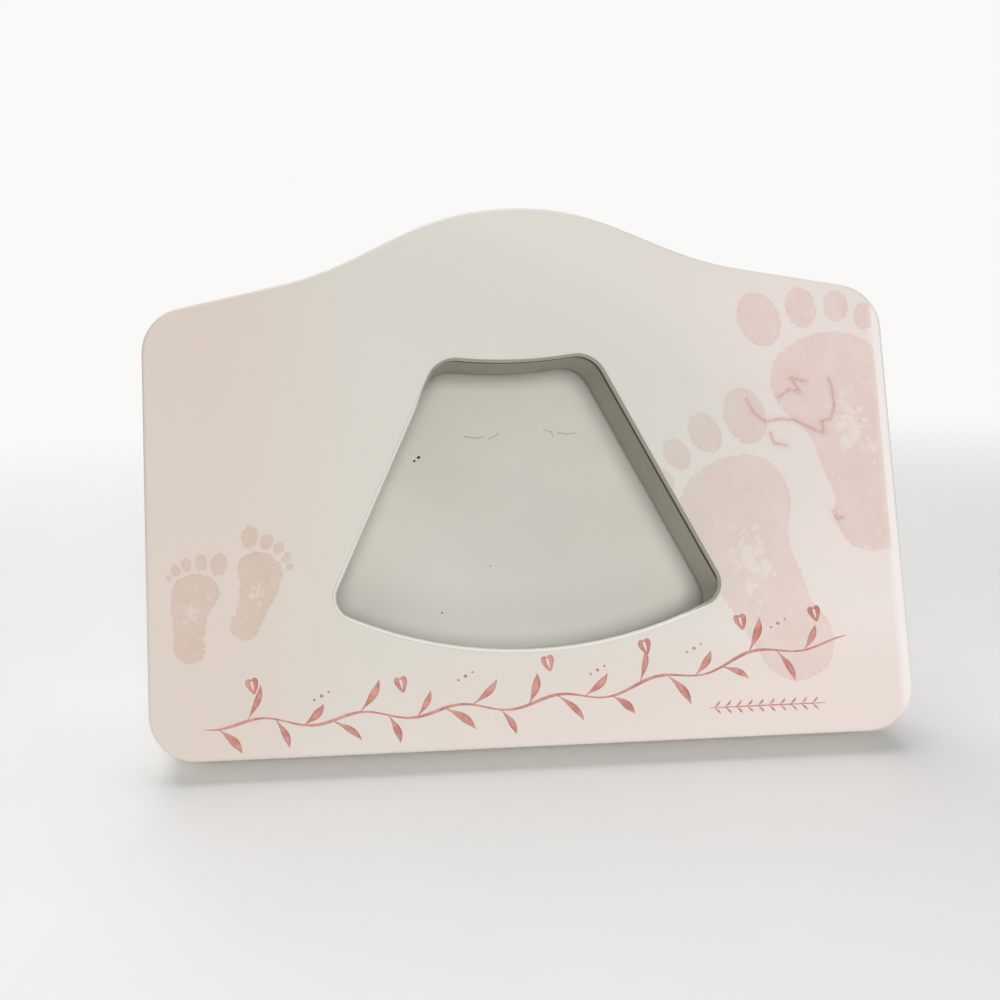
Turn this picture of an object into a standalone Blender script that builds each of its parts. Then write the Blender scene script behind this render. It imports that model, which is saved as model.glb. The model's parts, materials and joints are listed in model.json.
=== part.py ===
"""Free-standing photo frame for an ultrasound print, in metres, with +Z up and the face towards -Y.

A thin printed face sheet is glued to a deep moulded body. Both have a bell-shaped crown and a
sector-shaped opening. The body's back has a rebate that holds the glazing, a card and the
backing board behind four turn buttons. The board carries a hinged easel leg with a stop.
"""

import math

import bmesh
import bpy
from mathutils import Matrix, Vector, geometry

# Outline of the panel, seen from the front
PANEL_WIDTH = 0.203
CROWN_HEIGHT = 0.1463
CROWN_HALF_WIDTH = 0.0637
CROWN_PULL = 0.0284
FLANK_PULL = 0.0266
SHOULDER_HEIGHT = 0.1193
SHOULDER_SLOPE = math.radians(11.2)
CORNER_RADIUS = 0.0125

# Sector opening, seen from the front
OPENING_APEX_HEIGHT = 0.1483
OPENING_HALF_ANGLE = math.radians(25.8)
OPENING_TOP_HEIGHT = 0.1029
OPENING_TOP_RADIUS = 0.119
OPENING_TOP_CORNER = 0.0076
OPENING_BOTTOM_HEIGHT = 0.0256
OPENING_BOTTOM_RADIUS = 0.1166
OPENING_BOTTOM_CORNER = 0.0057

# Face sheet and body
FACE_THICKNESS = 0.0018
FACE_EDGE_LAND = 0.0002
LIP_BEVEL = 0.0010
GLUE_LINE = 0.0001
BODY_THICKNESS = 0.021
BODY_BACK_ROUND = 0.001
BODY_SETBACK = 0.0003
BODY_SILL_DROP = 0.008
BODY_SILL_CORNER = 0.009

# Sheets held in the rebate
SHEET_WIDTH = 0.127
SHEET_HEIGHT = 0.102
SHEET_CORNER = 0.002
GLAZING_THICKNESS = 0.0012
CARD_THICKNESS = 0.0005
BACKING_THICKNESS = 0.0025

# Gaps: between faces that rest on each other, and round a shaft in its hole
CLEARANCE = 0.0003
RUNNING_FIT = 0.0001

# Turn buttons and their screws
BUTTON_WIDTH = 0.009
BUTTON_THICKNESS = 0.001
BUTTON_SETBACK = 0.007
BUTTON_OVERLAP = 0.007
BUTTON_SPREAD = 0.056
BUTTON_NOSE = 0.0035
BUTTON_NOSE_ANGLE = math.radians(28)
SCREW_RADIUS = 0.0015
SCREW_LENGTH = 0.012
SCREW_POINT = 0.003
SCREW_HEAD_RADIUS = 0.0029
SCREW_HEAD_HEIGHT = 0.0017
RECESS_SPAN = 0.0032
RECESS_WIDTH = 0.0008
RECESS_DEPTH = 0.0010

# Easel hinge and leg
LEAN = math.radians(16)
OPEN_ANGLE = math.radians(28)
HINGE_HEIGHT = 0.080
LEAF_WIDTH = 0.030
LEAF_HEIGHT = 0.015
LEAF_THICKNESS = 0.0008
LEAF_CORNER = 0.002
MIDDLE_KNUCKLE = 0.013
STOP_WIDTH = 0.009
STOP_REACH = 0.0065
PIN_HEAD_RADIUS = 0.0014
PIN_HEAD_LENGTH = 0.0005
RIVET_RADIUS = 0.0011
RIVET_HEAD_RADIUS = 0.0023
RIVET_HEAD_HEIGHT = 0.0009
RIVET_TAIL_RADIUS = 0.0020
RIVET_TAIL_LENGTH = 0.0006
RIVET_INSET = 0.004
RIVET_RISE = 0.0085
LEG_THICKNESS = 0.0025
LEG_MARGIN = 0.002
LEG_TOP_CORNER = 0.002
LEG_FOOT_WIDTH = 0.046
LEG_FOOT_CORNER = 0.004

# Smoothness
CORNER_STEPS = 8
ROUND_STEPS = 24

# Sizes that follow from those above
face_back = -(BODY_THICKNESS + GLUE_LINE)
face_front = face_back - FACE_THICKNESS
face_round = FACE_THICKNESS - FACE_EDGE_LAND
card_front = -(BACKING_THICKNESS + CLEARANCE + CARD_THICKNESS)
glazing_front = card_front - CLEARANCE - GLAZING_THICKNESS
rebate_depth = CLEARANCE - glazing_front
rebate_height = (OPENING_TOP_HEIGHT + OPENING_BOTTOM_HEIGHT) / 2
button_across = SHEET_WIDTH / 2 + CLEARANCE + BUTTON_SETBACK
button_reach = BUTTON_SETBACK + CLEARANCE + BUTTON_OVERLAP
button_back = CLEARANCE + BUTTON_THICKNESS
knuckle_radius = (LEG_THICKNESS + CLEARANCE + LEAF_THICKNESS) / 2
bore_radius = knuckle_radius - LEAF_THICKNESS
pin_radius = bore_radius - RUNNING_FIT
axis_back = CLEARANCE + knuckle_radius
rivet_across = LEAF_WIDTH / 2 - RIVET_INSET

PLANES = {
    "XZ": lambda u, v, depth: (u, depth, v),
    "YZ": lambda u, v, depth: (depth, u, v),
    "XY": lambda u, v, depth: (u, v, depth),
}


def arc(centre, radius, start, end, steps=CORNER_STEPS):
    """Points along an arc from one angle to another, both ends included."""
    angles = [start + (end - start) * i / steps for i in range(steps + 1)]
    return [centre + radius * Vector((math.cos(a), math.sin(a))) for a in angles]


def fillet(before, corner, after, radius):
    """The arc that rounds the corner between two straight lines, turning left."""
    incoming = (corner - before).normalized()
    outgoing = (after - corner).normalized()
    turn = -incoming.angle_signed(outgoing)
    tangent = corner - incoming * radius * math.tan(turn / 2)
    centre = tangent + radius * Vector((-incoming.y, incoming.x))
    start = math.atan2((tangent - centre).y, (tangent - centre).x)
    return arc(centre, radius, start, start + turn)


def mirrored(half):
    """A closed outline from its right half, which runs from a point on the centre line to another."""
    return half + [Vector((-p.x, p.y)) for p in reversed(half[1:-1])]


def inset(outline, distance):
    """The outline with each edge moved inward by the same distance."""
    moved = []
    for i, point in enumerate(outline):
        incoming = (point - outline[i - 1]).normalized()
        outgoing = (outline[(i + 1) % len(outline)] - point).normalized()
        normal = Vector((-incoming.y - outgoing.y, incoming.x + outgoing.x)).normalized()
        moved.append(point + normal * distance / max(normal.dot(Vector((-incoming.y, incoming.x))), 0.5))
    return moved


def panel_outline():
    """Straight foot, rounded corners, sloping shoulders and a bell-shaped crown."""
    half = PANEL_WIDTH / 2
    uphill = Vector((-math.cos(SHOULDER_SLOPE), math.sin(SHOULDER_SLOPE)))
    foot = Vector((half, 0))
    shoulder = Vector((half, SHOULDER_HEIGHT))
    flank = shoulder + uphill * (half - CROWN_HALF_WIDTH) / math.cos(SHOULDER_SLOPE)
    crown = Vector((0, CROWN_HEIGHT))
    bell = geometry.interpolate_bezier(
        flank, flank + uphill * FLANK_PULL, crown + Vector((CROWN_PULL, 0)), crown, 2 * CORNER_STEPS
    )
    right = [Vector((0, 0))]
    right += fillet(right[0], foot, shoulder, CORNER_RADIUS)
    right += fillet(foot, shoulder, flank, CORNER_RADIUS)
    right += [Vector((p.x, p.y)) for p in bell]
    return mirrored(right)


def corner_centre(arc_centre, distance, corner):
    """Where a rounded corner is centred: its radius inside the straight side, and so far from an arc's centre."""
    side = Vector((math.sin(OPENING_HALF_ANGLE), -math.cos(OPENING_HALF_ANGLE)))
    outward = Vector((math.cos(OPENING_HALF_ANGLE), math.sin(OPENING_HALF_ANGLE)))
    start = Vector((0, OPENING_APEX_HEIGHT)) - corner * outward
    offset = start - arc_centre
    along = -offset.dot(side) + math.sqrt(offset.dot(side) ** 2 - offset.length_squared + distance**2)
    return start + along * side


def opening_outline(grow=0.0, drop=0.0, corner=OPENING_BOTTOM_CORNER):
    """A sector with rounded corners, a sagging upper edge and a bowed lower one, grown outward all round.

    drop lowers the bowed edge, and corner is the radius where it meets the sides.
    """
    low = Vector((0, OPENING_BOTTOM_HEIGHT - drop + OPENING_BOTTOM_RADIUS))
    high = Vector((0, OPENING_TOP_HEIGHT + OPENING_TOP_RADIUS))
    low_corner = corner_centre(low, OPENING_BOTTOM_RADIUS - corner, corner)
    high_corner = corner_centre(high, OPENING_TOP_RADIUS + OPENING_TOP_CORNER, OPENING_TOP_CORNER)
    down = math.atan2((low_corner - low).y, low_corner.x)
    up = math.atan2((high - high_corner).y, -high_corner.x)
    floor = -math.pi / 2
    right = arc(low, OPENING_BOTTOM_RADIUS + grow, floor, down)
    right += arc(low_corner, corner + grow, down, OPENING_HALF_ANGLE)[1:]
    right += arc(high_corner, OPENING_TOP_CORNER + grow, OPENING_HALF_ANGLE, up)
    right += arc(high, OPENING_TOP_RADIUS - grow, up - math.pi, floor, CORNER_STEPS // 2)[1:]
    return mirrored(right)


def rectangle_outline(width, height, radius, middle=0.0):
    """A rounded rectangle, centred across and about a given height."""
    low = middle - height / 2
    high = middle + height / 2
    foot = [Vector((0, low)), Vector((width / 2, low)), Vector((width / 2, high)), Vector((0, high))]
    right = [foot[0]] + fillet(*foot[:3], radius) + fillet(*foot[1:], radius) + [foot[3]]
    return mirrored(right)


def clear_scene():
    for obj in list(bpy.data.objects):
        bpy.data.objects.remove(obj)


def new_collection(name, hidden=False):
    collection = bpy.data.collections.new(name)
    bpy.context.scene.collection.children.link(collection)
    collection.hide_render = hidden
    return collection


def new_material(name, colour, roughness, metallic=0.0, alpha=1.0):
    material = bpy.data.materials.new(name)
    material.use_nodes = True
    shader = material.node_tree.nodes["Principled BSDF"]
    shader.inputs["Base Color"].default_value = (*colour, 1.0)
    shader.inputs["Roughness"].default_value = roughness
    shader.inputs["Metallic"].default_value = metallic
    shader.inputs["Alpha"].default_value = alpha
    material.diffuse_color = (*colour, alpha)
    return material


def loft(rings, plane="XZ"):
    """A closed mesh through rings of points. Each ring is an outline and its depth across the plane."""
    shape = bmesh.new()
    place = PLANES[plane]
    loops = []
    for outline, depth in rings:
        verts = [shape.verts.new(place(p.x, p.y, depth)) for p in outline]
        loops.append([shape.edges.new(pair) for pair in zip(verts, verts[1:] + verts[:1])])
    for first, second in zip(loops, loops[1:]):
        bmesh.ops.bridge_loops(shape, edges=first + second)
    bmesh.ops.edgeloop_fill(shape, edges=loops[0] + loops[-1])
    return finished(shape)


def box(low, high):
    """A closed box between two opposite corners."""
    low, high = Vector(low), Vector(high)
    shape = bmesh.new()
    bmesh.ops.create_cube(shape, size=1)
    bmesh.ops.scale(shape, vec=high - low, verts=shape.verts)
    bmesh.ops.translate(shape, vec=(low + high) / 2, verts=shape.verts)
    return finished(shape)


def cylinder(radius, low, high, axis):
    """A closed cylinder about the X or Y axis, between two places on it."""
    turn = Matrix.Rotation(math.pi / 2, 4, "Y" if axis == "X" else "X")
    middle = Vector(((low + high) / 2, 0, 0) if axis == "X" else (0, (low + high) / 2, 0))
    shape = bmesh.new()
    bmesh.ops.create_cone(
        shape,
        cap_ends=True,
        segments=ROUND_STEPS,
        radius1=radius,
        radius2=radius,
        depth=high - low,
        matrix=Matrix.Translation(middle) @ turn,
    )
    return finished(shape)


def finished(shape):
    """The bmesh as mesh data, with its faces outward and its rounded edges smooth."""
    bmesh.ops.recalc_face_normals(shape, faces=shape.faces)
    mesh = bpy.data.meshes.new("shape")
    shape.to_mesh(mesh)
    shape.free()
    mesh.shade_smooth()
    mesh.set_sharp_from_angle(angle=math.radians(32))
    return mesh


def add_part(name, mesh, material, parent, location=(0, 0, 0), turn=0.0):
    """A visible piece. turn rotates it about Y, which is square to the panel."""
    obj = bpy.data.objects.new(name, mesh)
    parts.objects.link(obj)
    if not mesh.materials:
        mesh.materials.append(material)
    obj.parent = parent
    obj.location = location
    obj.rotation_euler = (0, turn, 0)
    return obj


def add_cutter(name, mesh, parent, location=(0, 0, 0)):
    obj = bpy.data.objects.new(name, mesh)
    cutters.objects.link(obj)
    obj.hide_render = True
    obj.display_type = "WIRE"
    obj.parent = parent
    obj.location = location
    return obj


def add_boolean(target, other, operation="DIFFERENCE"):
    modifier = target.modifiers.new(other.name, "BOOLEAN")
    modifier.operation = operation
    modifier.solver = "EXACT"
    modifier.object = other


def add_empty(name, parent=None, location=(0, 0, 0), lean=0.0):
    obj = bpy.data.objects.new(name, None)
    parts.objects.link(obj)
    obj.empty_display_size = 0.01
    obj.parent = parent
    obj.location = location
    obj.rotation_euler = (lean, 0, 0)
    return obj


def turned(name, profile, material, parent, location):
    """A turned piece from its half profile, (radius, place along the axis). The axis points backward."""
    mesh = bpy.data.meshes.new(name)
    edges = [(i, i + 1) for i in range(len(profile) - 1)]
    mesh.from_pydata([(r, 0, z) for r, z in profile], edges, [])
    obj = add_part(name, mesh, material, parent, location)
    obj.rotation_euler = (-math.pi / 2, 0, 0)
    screw = obj.modifiers.new("turned", "SCREW")
    screw.axis = "Z"
    screw.steps = ROUND_STEPS
    screw.render_steps = ROUND_STEPS
    screw.use_merge_vertices = True
    screw.merge_threshold = 0.00001
    screw.use_normal_flip = True
    screw.use_smooth_shade = True
    return obj


def dome(radius, height, base, steps=5):
    """Half profile of a domed head, from its rim to its top on the axis."""
    ball = (radius**2 + height**2) / (2 * height)
    reach = math.asin(radius / ball)
    angles = [reach * (1 - i / steps) for i in range(steps + 1)]
    rise = base + height - ball
    return [(ball * math.sin(a), rise + ball * math.cos(a)) for a in angles]


def build_face(panel):
    """Thin printed sheet with a rounded outer edge and a bevelled lip round the opening."""
    outline = panel_outline()
    rings = []
    for angle in [math.pi / 2 * i / 4 for i in range(5)]:
        depth = face_round * (1 - math.sin(angle))
        rings.append((inset(outline, face_round * (1 - math.cos(angle))), face_front + depth))
    rings.reverse()
    sheet = add_part("face_panel", loft(rings + [(outline, face_back)]), ivory_print, panel)
    flare = [
        (opening_outline(LIP_BEVEL), face_front - LIP_BEVEL),
        (opening_outline(LIP_BEVEL), face_front),
        (opening_outline(), face_front + LIP_BEVEL),
        (opening_outline(), face_back + LIP_BEVEL),
    ]
    add_boolean(sheet, add_cutter("face_opening", loft(flare), panel))


def build_body(panel):
    """Deep body with the same outline, its opening set back under the lip, most below, and a rebate behind."""
    outline = panel_outline()
    rings = [(outline, -BODY_THICKNESS)]
    for angle in [math.pi / 2 * i / 3 for i in range(4)]:
        depth = BODY_BACK_ROUND * (1 - math.sin(angle))
        rings.append((inset(outline, BODY_BACK_ROUND * (1 - math.cos(angle))), -depth))
    body = add_part("body_frame", loft(rings), painted_body, panel)
    sector = opening_outline(BODY_SETBACK, BODY_SILL_DROP, BODY_SILL_CORNER)
    through = loft([(sector, -BODY_THICKNESS - CLEARANCE), (sector, CLEARANCE)])
    add_boolean(body, add_cutter("body_opening", through, panel))
    seat = rectangle_outline(
        SHEET_WIDTH + 2 * CLEARANCE, SHEET_HEIGHT + 2 * CLEARANCE, SHEET_CORNER + CLEARANCE, rebate_height
    )
    rebate = loft([(seat, -rebate_depth), (seat, CLEARANCE)])
    add_boolean(body, add_cutter("body_rebate", rebate, panel))
    for name, place, _ in button_places():
        pilot = cylinder(SCREW_RADIUS + RUNNING_FIT, button_back - SCREW_LENGTH - CLEARANCE, CLEARANCE, "Y")
        add_boolean(body, add_cutter(name + "_pilot", pilot, panel, place))
    return body


def build_sheets(panel):
    """Glazing, card and backing board, each in front of the next in the rebate."""
    outline = rectangle_outline(SHEET_WIDTH, SHEET_HEIGHT, SHEET_CORNER, rebate_height)
    glazing_back = glazing_front + GLAZING_THICKNESS
    add_part("glazing_sheet", loft([(outline, glazing_front), (outline, glazing_back)]), clear_sheet, panel)
    card_back = card_front + CARD_THICKNESS
    add_part("insert_card", loft([(outline, card_front), (outline, card_back)]), grey_card, panel)
    board = loft([(outline, -BACKING_THICKNESS), (outline, 0)])
    backing = add_part("backing_board", board, hardboard, panel)
    height = HINGE_HEIGHT + RIVET_RISE
    for side, sign in (("left", -1), ("right", 1)):
        drill_rivet(backing, "backing_" + side, panel, (sign * rivet_across, 0, height), BACKING_THICKNESS)


def drill_rivet(board, name, parent, place, thickness):
    """A rivet's hole through a board, and the recess that keeps its tail flush with the front."""
    hole = cylinder(RIVET_RADIUS + RUNNING_FIT, -thickness - CLEARANCE, CLEARANCE, "Y")
    add_boolean(board, add_cutter(name + "_hole", hole, parent, place))
    bottom = -thickness + RIVET_TAIL_LENGTH + RUNNING_FIT
    recess = cylinder(RIVET_TAIL_RADIUS + RUNNING_FIT, -thickness - CLEARANCE, bottom, "Y")
    add_boolean(board, add_cutter(name + "_recess", recess, parent, place))


def build_rivet(name, parent, place, thickness):
    """A domed rivet that grips a hinge leaf and a board. Its place is on the leaf's outer face."""
    grip = -(LEAF_THICKNESS + CLEARANCE + thickness)
    profile = [
        (0, grip),
        (RIVET_TAIL_RADIUS, grip),
        (RIVET_TAIL_RADIUS, grip + RIVET_TAIL_LENGTH),
        (RIVET_RADIUS, grip + RIVET_TAIL_LENGTH),
        (RIVET_RADIUS, RUNNING_FIT),
    ]
    profile += dome(RIVET_HEAD_RADIUS, RIVET_HEAD_HEIGHT, RUNNING_FIT)
    turned(name, profile, bright_steel, parent, place)


def button_places():
    """Name, pivot and turn about Y of each turn button. Its nose points inward at rest."""
    for side, sign, turn in (("left", -1, 0.0), ("right", 1, math.pi)):
        for level, step in (("lower", -1), ("upper", 1)):
            height = rebate_height + step * BUTTON_SPREAD / 2
            yield level + "_" + side, Vector((sign * button_across, 0, height)), turn


def button_mesh_and_tools(name, pivot):
    """The button's bent strip, and the cutters that round its ends and make its hole."""
    tail = -BUTTON_WIDTH / 2
    bend = button_reach - BUTTON_NOSE
    rise = BUTTON_NOSE * math.tan(BUTTON_NOSE_ANGLE)
    inner = BUTTON_THICKNESS * math.tan(BUTTON_NOSE_ANGLE / 2)
    tilt = BUTTON_THICKNESS * Vector((-math.sin(BUTTON_NOSE_ANGLE), math.cos(BUTTON_NOSE_ANGLE)))
    nose = Vector((button_reach, CLEARANCE + rise))
    side_view = [
        Vector((tail, CLEARANCE)),
        Vector((bend, CLEARANCE)),
        nose,
        nose + tilt,
        Vector((bend - inner, button_back)),
        Vector((tail, button_back)),
    ]
    strip = loft([(side_view, -BUTTON_WIDTH / 2), (side_view, BUTTON_WIDTH / 2)], "XY")
    half = BUTTON_WIDTH / 2 - BUTTON_THICKNESS / 10
    tip = Vector((button_reach - half, 0))
    plan = arc(Vector((0, 0)), half, math.pi / 2, 3 * math.pi / 2, 2 * CORNER_STEPS)
    plan += arc(tip, half, -math.pi / 2, math.pi / 2, 2 * CORNER_STEPS)
    high = button_back + rise + BUTTON_THICKNESS
    rounding = add_cutter(name + "_plan", loft([(plan, 0), (plan, high)]), pivot)
    hole = cylinder(SCREW_RADIUS + RUNNING_FIT, 0, high, "Y")
    return strip, rounding, add_cutter(name + "_hole", hole, pivot)


def build_buttons(panel):
    """Four turn buttons, each on its own pivot, and the screws that hold them to the body."""
    for name, place, turn in button_places():
        pivot = add_empty(name + "_pivot", panel, place)
        pivot.rotation_euler = (0, turn, 0)
        strip, rounding, hole = button_mesh_and_tools("turn_button_" + name, pivot)
        button = add_part("turn_button_" + name, strip, zinc_plate, pivot)
        add_boolean(button, rounding, "INTERSECT")
        add_boolean(button, hole)
        build_screw("button_screw_" + name, panel, place)


def build_screw(name, panel, place):
    """A pan-head wood screw with a cross recess, its head just clear of the button."""
    seat = button_back + RUNNING_FIT
    end = button_back - SCREW_LENGTH
    rim = SCREW_HEAD_HEIGHT / 2
    profile = [(0, end), (SCREW_RADIUS, end + SCREW_POINT), (SCREW_RADIUS, seat), (SCREW_HEAD_RADIUS, seat)]
    profile += dome(SCREW_HEAD_RADIUS, SCREW_HEAD_HEIGHT - rim, seat + rim)
    screw = turned(name, profile, bright_steel, panel, place)
    wide, thin = RECESS_SPAN / 2, RECESS_WIDTH / 2
    top = seat + SCREW_HEAD_HEIGHT
    for arm, across, tall in (("_slot_across", wide, thin), ("_slot_upright", thin, wide)):
        slot = box((-across, top - RECESS_DEPTH, -tall), (across, top + CLEARANCE, tall))
        add_boolean(screw, add_cutter(name + arm, slot, panel, place))


def leaf_side_view():
    """A hinge leaf from its edge: a flat plate rolled round the pin. The plate goes up, on the front."""
    inner = LEAF_THICKNESS - knuckle_radius
    meet = math.atan2(math.sqrt(knuckle_radius**2 - inner**2), inner)
    top = LEAF_HEIGHT + LEAF_THICKNESS
    roll = arc(Vector((0, 0)), knuckle_radius, -math.pi, meet, ROUND_STEPS)
    return roll + [Vector((inner, top)), Vector((-knuckle_radius, top))]


def build_leaf(name, parent, turn, gaps):
    """One hinge leaf, with gaps cut for the other's knuckles. Each gap is a span across the leaf."""
    side_view = leaf_side_view()
    half = LEAF_WIDTH / 2 + LEAF_THICKNESS
    leaf = add_part(name, loft([(side_view, -half), (side_view, half)], "YZ"), bright_steel, parent)
    leaf.rotation_euler = (turn, 0, 0)
    wide = 2 * knuckle_radius
    below = wide + LEAF_CORNER
    plan = rectangle_outline(LEAF_WIDTH, LEAF_HEIGHT + below, LEAF_CORNER, (LEAF_HEIGHT - below) / 2)
    blank = loft([(plan, -wide), (plan, wide)])
    add_boolean(leaf, add_cutter(name + "_plan", blank, leaf), "INTERSECT")
    bore = cylinder(bore_radius, -LEAF_WIDTH, LEAF_WIDTH, "X")
    add_boolean(leaf, add_cutter(name + "_bore", bore, leaf))
    for number, (start, end) in enumerate(gaps):
        gap = box((start, -wide, -wide), (end, wide, knuckle_radius + CLEARANCE))
        add_boolean(leaf, add_cutter(f"{name}_gap_{number}", gap, leaf))
    for side, sign in (("left", -1), ("right", 1)):
        hole = cylinder(RIVET_RADIUS + RUNNING_FIT, -wide, 0, "Y")
        place = (sign * rivet_across, 0, RIVET_RISE)
        add_boolean(leaf, add_cutter(f"{name}_{side}_hole", hole, leaf, place))
    return leaf


def build_stop(leaf):
    """A tongue above the middle knuckle that meets the fixed leaf's plate when the leg is open."""
    middle = -knuckle_radius + LEAF_THICKNESS + RUNNING_FIT + LEAF_THICKNESS / 2
    root = (bore_radius + knuckle_radius) / 2
    tongue = box(
        (-STOP_WIDTH / 2, middle - LEAF_THICKNESS / 2, root),
        (STOP_WIDTH / 2, middle + LEAF_THICKNESS / 2, knuckle_radius + STOP_REACH),
    )
    tool = add_cutter("stop_tongue", tongue, leaf)
    tool.rotation_euler = (math.pi - OPEN_ANGLE, 0, 0)
    add_boolean(leaf, tool, "UNION")


def build_pin(axis):
    """The hinge pin, with a flattened head beyond each outer knuckle."""
    half = LEAF_WIDTH / 2 + RUNNING_FIT
    end = half + PIN_HEAD_LENGTH
    profile = [(0, -end), (PIN_HEAD_RADIUS, -end), (PIN_HEAD_RADIUS, -half), (pin_radius, -half)]
    profile += [(radius, -along) for radius, along in reversed(profile)]
    pin = turned("hinge_pin", profile, bright_steel, axis, (0, 0, 0))
    pin.rotation_euler = (0, math.pi / 2, 0)


def build_leg(pivot):
    """A tapered strut that hangs from the hinge, its foot cut level with the floor."""
    bpy.context.view_layer.update()
    top = -(knuckle_radius + CLEARANCE)
    front = -knuckle_radius
    back = front + LEG_THICKNESS
    world = pivot.matrix_world
    low = min(-(world[2][1] * depth + world[2][3]) / world[2][2] for depth in (front, back))
    corners = [
        Vector((0, low)),
        Vector((LEG_FOOT_WIDTH / 2, low)),
        Vector((LEAF_WIDTH / 2 + LEG_MARGIN, top)),
        Vector((0, top)),
    ]
    right = [corners[0]] + fillet(*corners[:3], LEG_FOOT_CORNER)
    right += fillet(*corners[1:], LEG_TOP_CORNER) + [corners[3]]
    outline = mirrored(right)
    leg = add_part("easel_leg", loft([(outline, front), (outline, back)]), hardboard, pivot)
    reach = 2 * CROWN_HEIGHT
    add_boolean(leg, add_cutter("floor", box((-reach, -reach, -reach), (reach, reach, 0)), None))
    for side, sign in (("left", -1), ("right", 1)):
        drill_rivet(leg, "leg_" + side, pivot, (sign * rivet_across, back, -RIVET_RISE), LEG_THICKNESS)
        place = (sign * rivet_across, knuckle_radius, -RIVET_RISE)
        build_rivet("leg_rivet_" + side, pivot, place, LEG_THICKNESS)


def build_easel(panel):
    """The hinge on the backing board, and the leg that swings on it."""
    axis = add_empty("hinge_axis", panel, (0, axis_back, HINGE_HEIGHT))
    half = LEAF_WIDTH
    inner = MIDDLE_KNUCKLE / 2
    build_leaf("hinge_fixed_leaf", axis, 0.0, [(-inner - CLEARANCE, inner + CLEARANCE)])
    for side, sign in (("left", -1), ("right", 1)):
        place = (sign * rivet_across, CLEARANCE + LEAF_THICKNESS, HINGE_HEIGHT + RIVET_RISE)
        build_rivet("backing_rivet_" + side, panel, place, BACKING_THICKNESS)
    build_pin(axis)
    pivot = add_empty("leg_pivot", axis, (0, 0, 0), OPEN_ANGLE)
    leaf = build_leaf("hinge_leg_leaf", pivot, math.pi, [(-half, -inner), (inner, half)])
    build_stop(leaf)
    build_leg(pivot)


def lowest_when_leaning(obj):
    """The least height of a piece's points once the panel leans back."""
    sink, rise = math.sin(LEAN), math.cos(LEAN)
    return min(v.co.z * rise - v.co.y * sink for v in obj.data.vertices)


def centre_over_origin(root):
    """Moves the frame so that the origin is under the middle of its bounding box."""
    bpy.context.view_layer.update()
    graph = bpy.context.evaluated_depsgraph_get()
    depths = []
    for obj in parts.objects:
        if obj.type == "MESH":
            solid = obj.evaluated_get(graph)
            depths += [(solid.matrix_world @ v.co).y for v in solid.data.vertices]
    root.location.y -= (min(depths) + max(depths)) / 2


clear_scene()
parts = new_collection("ultrasound_photo_frame")
cutters = new_collection("cutters", hidden=True)

ivory_print = new_material("ivory_print", (0.67, 0.65, 0.60), 0.6)
painted_body = new_material("painted_body", (0.42, 0.41, 0.36), 0.6)
clear_sheet = new_material("clear_sheet", (0.9, 0.92, 0.92), 0.05, alpha=0.2)
grey_card = new_material("grey_card", (0.55, 0.54, 0.50), 0.8)
hardboard = new_material("hardboard", (0.16, 0.09, 0.05), 0.7)
zinc_plate = new_material("zinc_plate", (0.62, 0.62, 0.60), 0.35, metallic=1.0)
bright_steel = new_material("bright_steel", (0.70, 0.70, 0.70), 0.25, metallic=1.0)

frame_root = add_empty("frame_root")
leaning_panel = add_empty("leaning_panel", frame_root, lean=-LEAN)
leaning_panel.location.z = -lowest_when_leaning(build_body(leaning_panel))
build_face(leaning_panel)
build_sheets(leaning_panel)
build_buttons(leaning_panel)
build_easel(leaning_panel)
centre_over_origin(frame_root)
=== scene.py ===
# %% [markdown]
# # A photo frame for an ultrasound print
#
# The frame is a deep painted board with a thin printed sheet glued to its front. A sector-shaped
# window shows a card under clear glazing, and an easel leg behind holds the frame at a slant.
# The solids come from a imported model. This lesson dresses them: it smooths their edges, prints
# the face, and gives every piece the finish that the real one has.

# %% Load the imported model
import json
import math

import bpy
from mathutils import Matrix, Vector


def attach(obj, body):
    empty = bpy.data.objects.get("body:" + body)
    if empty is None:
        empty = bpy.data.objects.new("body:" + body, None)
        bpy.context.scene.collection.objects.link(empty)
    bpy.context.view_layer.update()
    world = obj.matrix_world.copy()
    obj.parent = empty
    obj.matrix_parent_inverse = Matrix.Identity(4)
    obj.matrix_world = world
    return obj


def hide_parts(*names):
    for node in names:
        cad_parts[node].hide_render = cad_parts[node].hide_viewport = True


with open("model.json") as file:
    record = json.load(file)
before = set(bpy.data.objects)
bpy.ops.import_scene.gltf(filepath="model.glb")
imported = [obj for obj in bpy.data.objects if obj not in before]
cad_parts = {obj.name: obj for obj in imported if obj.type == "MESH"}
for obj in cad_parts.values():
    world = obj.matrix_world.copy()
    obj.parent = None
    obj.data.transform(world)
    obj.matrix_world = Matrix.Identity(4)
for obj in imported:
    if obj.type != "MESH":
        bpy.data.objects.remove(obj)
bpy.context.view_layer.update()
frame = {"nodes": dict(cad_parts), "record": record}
bpy.ops.object.select_all(action="DESELECT")
print("packed pieces:", len(frame["nodes"]))

# %% [markdown]
# The face leans back, so it helps to think in the panel's own directions: across, up the face
# and out of it. The record's mounts say where the panel's foot is and how far it leans. One
# matrix then takes panel places to the world, and its inverse takes them back for the patterns.

# %% The panel's own directions
MILLIMETRE = 0.001
BODY_THICKNESS = 0.021
FACE_OUT = 0.0229

mounts = {mount["name"]: mount for mount in frame["record"]["mounts"]}
lean = -math.asin(mounts["back_face"]["axis"][2])
to_world = Matrix.Translation(mounts["panel_base"]["pos_m"]) @ Matrix.Rotation(-lean, 4, "X")
to_world = to_world @ Matrix.Translation((0, BODY_THICKNESS / 2, 0))
to_panel = to_world.inverted()

print("lean in degrees:", round(math.degrees(lean), 2))

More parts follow.
